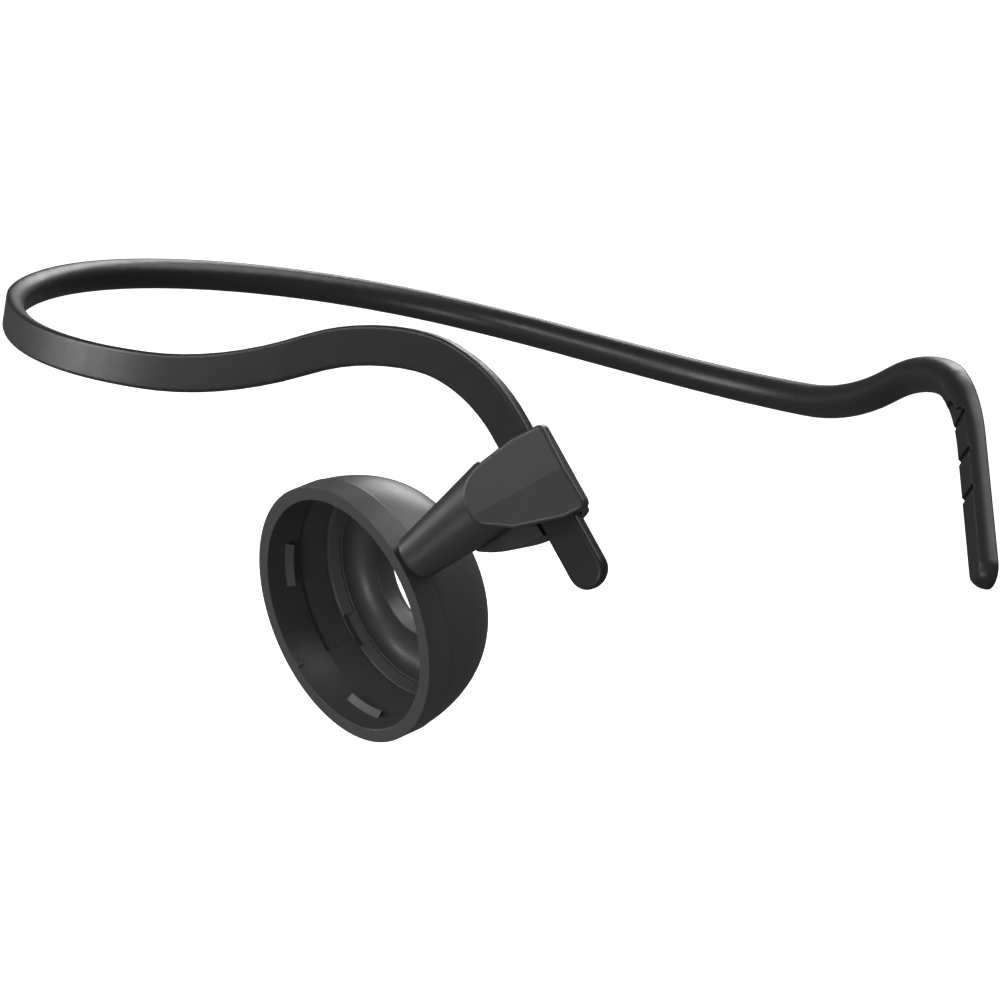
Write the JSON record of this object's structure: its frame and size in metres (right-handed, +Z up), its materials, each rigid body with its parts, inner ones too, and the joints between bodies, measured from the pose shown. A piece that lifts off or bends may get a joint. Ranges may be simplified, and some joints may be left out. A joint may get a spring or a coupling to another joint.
{
  "type": "behind-the-neck headset band",
  "caption": "Behind-the-neck headset band that hooks over both ears, with a notched slider, tapered arm and open round earpiece cup on one end.",
  "frame": {"origin": "centre of the whole object's box, with the holder at its lowest notch", "axes": "+Z up as worn, the wearer faces -Y, so the back of the neckband is at +Y and the earpiece holder is on the wearer's right at -X"},
  "size_m": [0.117, 0.169, 0.0546],
  "materials": {
    "band_plastic": "satin dark grey moulded plastic",
    "holder_plastic": "satin dark grey moulded plastic",
    "cover_plastic": "matt grey moulded plastic with two flat facets",
    "cup_plastic": "satin dark grey moulded plastic",
    "spring_steel": "spring temper, drawn",
    "pin_steel": "ground dowel"
  },
  "bodies": {
    "neckband": {"neckband": "band_plastic", "neckband_spring": "spring_steel"},
    "holder": {"slider_tray": "holder_plastic", "cup_arm": "holder_plastic", "slider_cover": "cover_plastic", "cover_pins": "pin_steel", "detent_leaf": "spring_steel", "cup_rim": "cup_plastic", "cup_shell": "cup_plastic", "cup_ledge_ring": "cup_plastic"}
  },
  "joints": [
    {"name": "holder_slide", "type": "slide", "parent": "neckband", "child": "holder", "axis": [-0.2806, 0.6944, 0.6626], "range_m": [0, 0.012]}
  ]
}
